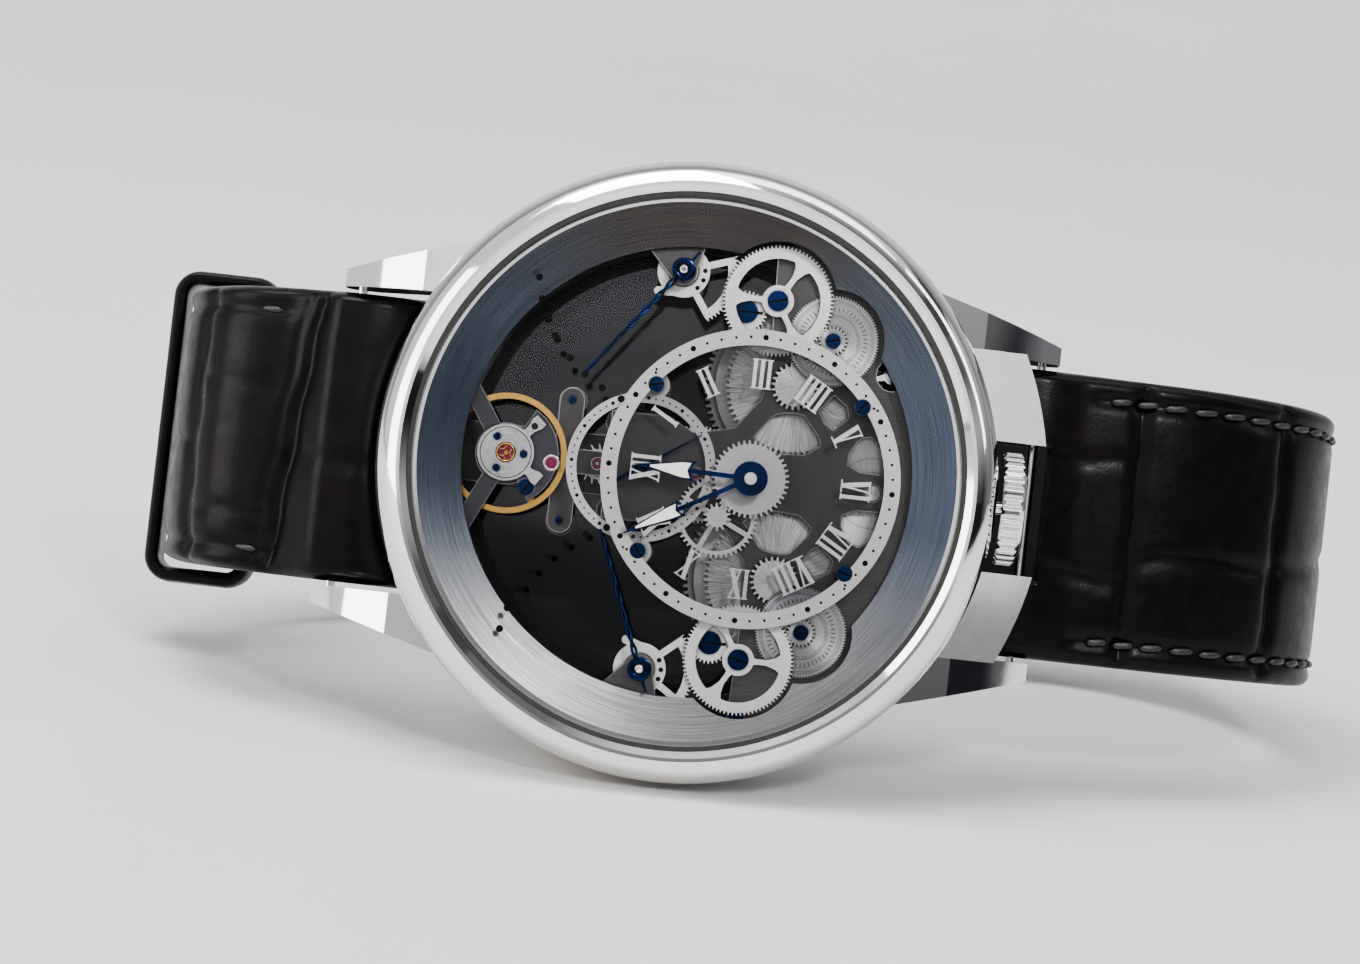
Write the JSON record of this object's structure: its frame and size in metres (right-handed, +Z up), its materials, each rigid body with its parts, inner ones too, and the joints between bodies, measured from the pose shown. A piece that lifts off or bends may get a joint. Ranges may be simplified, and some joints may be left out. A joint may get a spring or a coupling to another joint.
{
  "type": "skeleton wristwatch",
  "caption": "Skeletonised mechanical wristwatch with two barrels, twin power reserve pointers, small seconds, glass front and back, and a buckled leather strap, lying on its flank.",
  "frame": {"origin": "centre of the bottom of the bounding box, on the surface the watch lies on", "axes": "+X runs from 12 o'clock to 6 o'clock along the strap, +Z is up from the surface, and the dial faces -Y and slightly up"},
  "size_m": [0.0908, 0.0556, 0.0441],
  "materials": {
    "polished_steel": "mirror-polished stainless steel",
    "satin_steel": "fine circular brushing",
    "rhodium": "rhodium-plated brass, sunray brushed, bevelled edges",
    "dark_plate": "ruthenium-grey plate, fine straight graining",
    "blued_steel": "heat-blued polished steel",
    "gilt": "gilt brass, polished",
    "ruby": "synthetic ruby, polished",
    "spring_steel": "blue-grey spring steel",
    "sapphire": "clear anti-reflection coated sapphire",
    "smoked_glass": "smoked sapphire",
    "rubber_black": "black sealing ring",
    "alligator": "glossy black alligator, square scales, black stitching",
    "numeral_silver": "polished silver applied numerals"
  },
  "bodies": {
    "case": {"case_middle": "polished_steel", "bezel": "polished_steel", "buckle_frame": "polished_steel", "case_back_screws": "polished_steel", "inner_flange": "satin_steel", "case_back": "satin_steel", "spring_bars": "satin_steel", "hour_ring": "satin_steel", "seconds_ring": "satin_steel", "main_plate": "dark_plate", "train_bridge": "dark_plate", "balance_bridge": "dark_plate", "pallet_bridge": "dark_plate", "reserve_cocks": "dark_plate", "movement_screws": "blued_steel", "jewels": "ruby", "hairspring": "spring_steel", "crystal": "sapphire", "hour_dial": "sapphire", "back_crystal": "smoked_glass", "crystal_gasket": "rubber_black", "strap_buckle_half": "alligator", "strap_hole_half": "alligator", "fixed_keeper": "alligator", "hour_numerals": "numeral_silver"},
    "winding_pinion": {"winding_pinion": "rhodium"},
    "crown": {"crown": "polished_steel", "winding_stem": "satin_steel"},
    "crown_wheel": {"crown_wheel": "rhodium"},
    "upper_ratchet": {"upper_ratchet_wheel": "rhodium"},
    "lower_ratchet": {"lower_ratchet_wheel": "rhodium"},
    "click": {"click": "rhodium"},
    "minute_arbor": {"centre_wheel": "rhodium", "minute_hand": "blued_steel"},
    "upper_barrel": {"upper_barrel": "gilt", "upper_mainspring": "spring_steel"},
    "lower_barrel": {"lower_barrel": "gilt", "lower_mainspring": "spring_steel"},
    "hour_pipe": {"hour_wheel": "rhodium", "hour_hand": "blued_steel"},
    "minute_wheel": {"minute_wheel": "rhodium"},
    "third_wheel": {"third_wheel": "rhodium"},
    "seconds_arbor": {"fourth_wheel": "rhodium", "seconds_hand": "blued_steel"},
    "escape_wheel": {"escape_wheel": "rhodium"},
    "pallet_fork": {"pallet_fork": "rhodium"},
    "balance": {"balance": "gilt"},
    "regulator": {"regulator": "rhodium"},
    "upper_reserve": {"upper_reserve_sector": "rhodium", "upper_reserve_hand": "blued_steel"},
    "upper_idler": {"upper_idler_wheel": "rhodium"},
    "upper_reserve_wheel": {"upper_reserve_wheel": "rhodium"},
    "upper_differential": {"upper_differential": "rhodium"},
    "lower_reserve": {"lower_reserve_sector": "rhodium", "lower_reserve_hand": "blued_steel"},
    "lower_idler": {"lower_idler_wheel": "rhodium"},
    "lower_reserve_wheel": {"lower_reserve_wheel": "rhodium"},
    "lower_differential": {"lower_differential": "rhodium"},
    "buckle_tongue": {"buckle_tongue": "polished_steel"},
    "free_keeper": {"free_keeper": "alligator"}
  },
  "joints": [
    {"name": "crown_turn", "type": "hinge", "parent": "case", "child": "winding_pinion", "pos_m": [0.01261, -0.01748, 0.02154], "axis": [1, 0, 0], "continuous": true},
    {"name": "crown_pull", "type": "slide", "parent": "winding_pinion", "child": "crown", "axis": [1, 0, 0], "range_m": [0, 0.001]},
    {"name": "crown_wheel_turn", "type": "hinge", "parent": "case", "child": "crown_wheel", "pos_m": [0.00911, -0.0207, 0.0223], "axis": [0, -0.9732, 0.2299], "continuous": true},
    {"name": "upper_ratchet_turn", "type": "hinge", "parent": "case", "child": "upper_ratchet", "pos_m": [0.00271, -0.01908, 0.02916], "axis": [0, -0.9732, 0.2299], "continuous": true},
    {"name": "lower_ratchet_turn", "type": "hinge", "parent": "case", "child": "lower_ratchet", "pos_m": [0.00271, -0.02232, 0.01544], "axis": [0, -0.9732, 0.2299], "continuous": true},
    {"name": "click_lift", "type": "hinge", "parent": "case", "child": "click", "pos_m": [0.00961, -0.01872, 0.03067], "axis": [0, -0.9732, 0.2299], "range_deg": [0, 8], "stiffness_Nm_per_rad": 0.00002},
    {"name": "minute_turn", "type": "hinge", "parent": "case", "child": "minute_arbor", "pos_m": [0.00021, -0.0207, 0.0223], "axis": [0, 0.9732, -0.2299], "continuous": true},
    {"name": "upper_barrel_turn", "type": "hinge", "parent": "case", "child": "upper_barrel", "pos_m": [0.00271, -0.01908, 0.02916], "axis": [0, 0.9732, -0.2299], "continuous": true},
    {"name": "lower_barrel_turn", "type": "hinge", "parent": "case", "child": "lower_barrel", "pos_m": [0.00271, -0.02232, 0.01544], "axis": [0, 0.9732, -0.2299], "continuous": true},
    {"name": "hour_turn", "type": "hinge", "parent": "case", "child": "hour_pipe", "pos_m": [0.00021, -0.0207, 0.0223], "axis": [0, 0.9732, -0.2299], "continuous": true},
    {"name": "minute_wheel_turn", "type": "hinge", "parent": "case", "child": "minute_wheel", "pos_m": [-0.00186, -0.02137, 0.01943], "axis": [0, 0.9732, -0.2299], "continuous": true},
    {"name": "third_wheel_turn", "type": "hinge", "parent": "case", "child": "third_wheel", "pos_m": [-0.00374, -0.0207, 0.0223], "axis": [0, 0.9732, -0.2299], "continuous": true},
    {"name": "seconds_turn", "type": "hinge", "parent": "case", "child": "seconds_arbor", "pos_m": [-0.00769, -0.0207, 0.0223], "axis": [0, 0.9732, -0.2299], "continuous": true},
    {"name": "escape_wheel_turn", "type": "hinge", "parent": "case", "child": "escape_wheel", "pos_m": [-0.01089, -0.0207, 0.0223], "axis": [0, 0.9732, -0.2299], "continuous": true},
    {"name": "pallet_rock", "type": "hinge", "parent": "case", "child": "pallet_fork", "pos_m": [-0.01389, -0.0207, 0.0223], "axis": [0, -0.9732, 0.2299], "range_deg": [-3, 3]},
    {"name": "balance_swing", "type": "hinge", "parent": "case", "child": "balance", "pos_m": [-0.01749, -0.0207, 0.0223], "axis": [0, -0.9732, 0.2299], "range_deg": [-270, 270], "stiffness_Nm_per_rad": 0.00000036, "deforming": ["hairspring"]},
    {"name": "regulator_shift", "type": "hinge", "parent": "case", "child": "regulator", "pos_m": [-0.01749, -0.0207, 0.0223], "axis": [0, -0.9732, 0.2299], "range_deg": [-12, 12]},
    {"name": "upper_reserve_turn", "type": "hinge", "parent": "case", "child": "upper_reserve", "pos_m": [-0.00619, -0.01739, 0.03631], "axis": [0, -0.9732, 0.2299], "range_deg": [-42.9, 26.7]},
    {"name": "upper_idler_turn", "type": "hinge", "parent": "case", "child": "upper_idler", "pos_m": [-0.00139, -0.01794, 0.03398], "axis": [0, -0.9732, 0.2299], "range_deg": [-73.98, 118.26]},
    {"name": "upper_reserve_wheel_turn", "type": "hinge", "parent": "case", "child": "upper_reserve_wheel", "pos_m": [0.00079, -0.01771, 0.03494], "axis": [0, -0.9732, 0.2299], "range_deg": [-176.89, 110.47]},
    {"name": "upper_differential_turn", "type": "hinge", "parent": "case", "child": "upper_differential", "pos_m": [0.00505, -0.01827, 0.03257], "axis": [0, -0.9732, 0.2299], "range_deg": [-438.88, 704.56]},
    {"name": "lower_reserve_turn", "type": "hinge", "parent": "case", "child": "lower_reserve", "pos_m": [-0.00619, -0.02401, 0.00829], "axis": [0, -0.9732, 0.2299], "range_deg": [-11.4, 58.2]},
    {"name": "lower_idler_turn", "type": "hinge", "parent": "case", "child": "lower_idler", "pos_m": [-0.00139, -0.02346, 0.01062], "axis": [0, -0.9732, 0.2299], "range_deg": [-160.08, 32.16]},
    {"name": "lower_reserve_wheel_turn", "type": "hinge", "parent": "case", "child": "lower_reserve_wheel", "pos_m": [0.00079, -0.02368, 0.00966], "axis": [0, -0.9732, 0.2299], "range_deg": [-47.74, 239.62]},
    {"name": "lower_differential_turn", "type": "hinge", "parent": "case", "child": "lower_differential", "pos_m": [0.00505, -0.02312, 0.01203], "axis": [0, -0.9732, 0.2299], "range_deg": [-955.48, 187.96]},
    {"name": "tongue_lift", "type": "hinge", "parent": "case", "child": "buckle_tongue", "pos_m": [0.00061, 0.01884, 0.01296], "axis": [0, 0.2299, 0.9732], "range_deg": [0, 12]},
    {"name": "keeper_slide", "type": "slide", "parent": "case", "child": "free_keeper", "axis": [0, -0.9732, 0.2299], "range_m": [0, 0.003]}
  ],
  "couplings": [
    {"joint": "crown_wheel_turn", "follows": "crown_turn", "ratio": 0.23529},
    {"joint": "upper_ratchet_turn", "follows": "crown_turn", "ratio": -0.22222},
    {"joint": "lower_ratchet_turn", "follows": "crown_turn", "ratio": -0.22222},
    {"joint": "upper_barrel_turn", "follows": "minute_turn", "ratio": -0.175},
    {"joint": "lower_barrel_turn", "follows": "minute_turn", "ratio": -0.175},
    {"joint": "hour_turn", "follows": "minute_turn", "ratio": 0.083333},
    {"joint": "minute_wheel_turn", "follows": "minute_turn", "ratio": -0.25},
    {"joint": "third_wheel_turn", "follows": "minute_turn", "ratio": -8},
    {"joint": "seconds_turn", "follows": "minute_turn", "ratio": 60},
    {"joint": "escape_wheel_turn", "follows": "minute_turn", "ratio": -720},
    {"joint": "upper_idler_turn", "follows": "upper_reserve_turn", "ratio": -2.7333},
    {"joint": "upper_reserve_wheel_turn", "follows": "upper_reserve_turn", "ratio": 4.1},
    {"joint": "upper_differential_turn", "follows": "upper_reserve_turn", "ratio": -16.4},
    {"joint": "lower_idler_turn", "follows": "lower_reserve_turn", "ratio": -2.7333},
    {"joint": "lower_reserve_wheel_turn", "follows": "lower_reserve_turn", "ratio": 4.1},
    {"joint": "lower_differential_turn", "follows": "lower_reserve_turn", "ratio": -16.4}
  ]
}
